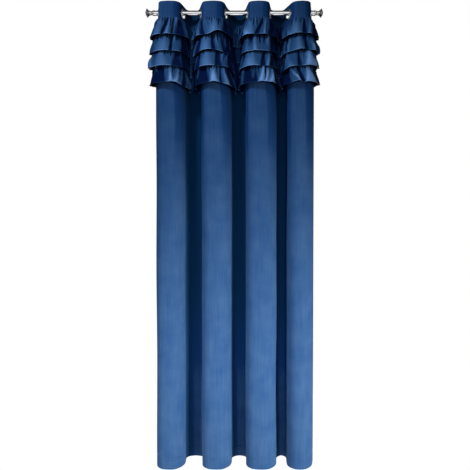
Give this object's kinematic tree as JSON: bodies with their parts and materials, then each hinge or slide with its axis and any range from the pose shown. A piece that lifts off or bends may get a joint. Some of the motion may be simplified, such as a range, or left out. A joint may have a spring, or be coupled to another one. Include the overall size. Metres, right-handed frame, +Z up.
{
  "type": "ruffled velvet curtain on a rod",
  "caption": "Long velvet eyelet curtain in deep vertical folds, with tiers of gathered ruffles under its heading, on a plain metal rod with trumpet finials.",
  "frame": {"origin": "on the rod's axis, at the middle of its length", "axes": "+Z up, +X along the rod, the curtain's front faces -Y"},
  "size_m": [0.9606, 0.1632, 2.5],
  "materials": {
    "panel_velvet": "navy blue velvet with a soft sheen",
    "ruffle_velvet": "navy blue velvet, gathered, with bright highlights on its folds",
    "eyelet_metal": "polished silver",
    "rod_metal": "polished silver"
  },
  "bodies": {
    "root": {"panel": "panel_velvet", "ruffle_1": "ruffle_velvet", "ruffle_2": "ruffle_velvet", "ruffle_3": "ruffle_velvet", "ruffle_4": "ruffle_velvet", "eyelet_1": "eyelet_metal", "eyelet_2": "eyelet_metal", "eyelet_3": "eyelet_metal", "eyelet_4": "eyelet_metal", "eyelet_5": "eyelet_metal", "eyelet_6": "eyelet_metal", "eyelet_7": "eyelet_metal", "eyelet_8": "eyelet_metal", "rod": "rod_metal", "finial_left": "rod_metal", "finial_right": "rod_metal"}
  },
  "joints": []
}
